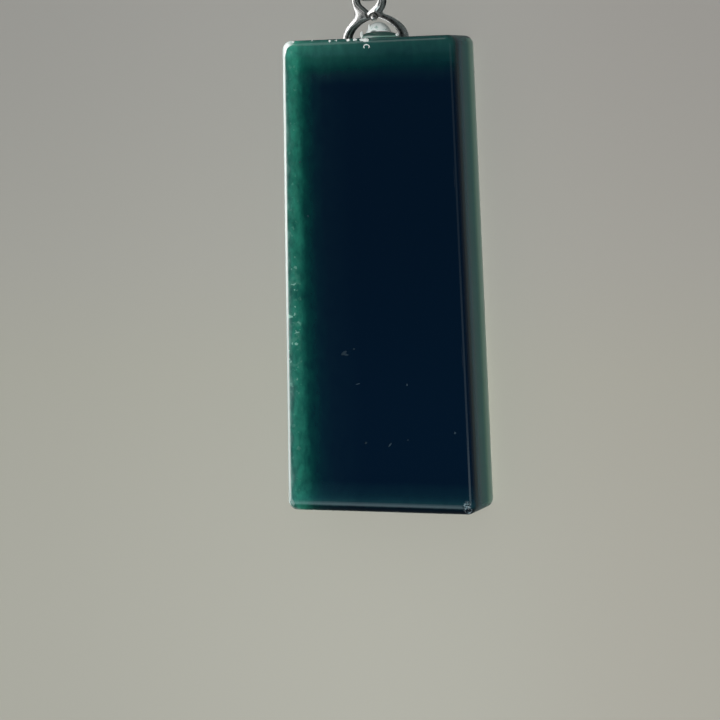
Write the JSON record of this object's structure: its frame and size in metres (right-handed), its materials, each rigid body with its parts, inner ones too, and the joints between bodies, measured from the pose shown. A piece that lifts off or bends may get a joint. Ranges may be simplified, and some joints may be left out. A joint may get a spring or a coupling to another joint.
{
  "type": "jade plaque",
  "caption": "Tapered rectangular jade plaque with rounded edges, a small silver arch and eye on its top edge, and a loose tapered silver bail.",
  "frame": {"origin": "on the surface the plaque lies on, under the middle of its whole box, bail included", "axes": "+Y along the plaque towards its top edge and bail, +Z out of its polished front, +X to the right seen from the front"},
  "size_m": [0.0192, 0.057, 0.0061],
  "materials": {
    "jade": "polished, near black in the middle, green where light passes through the edges",
    "mount_silver": "polished silver",
    "bail_silver": "polished silver"
  },
  "bodies": {
    "root": {"jade_plaque": "jade", "silver_mount": "mount_silver", "silver_bail": "bail_silver"}
  },
  "joints": []
}
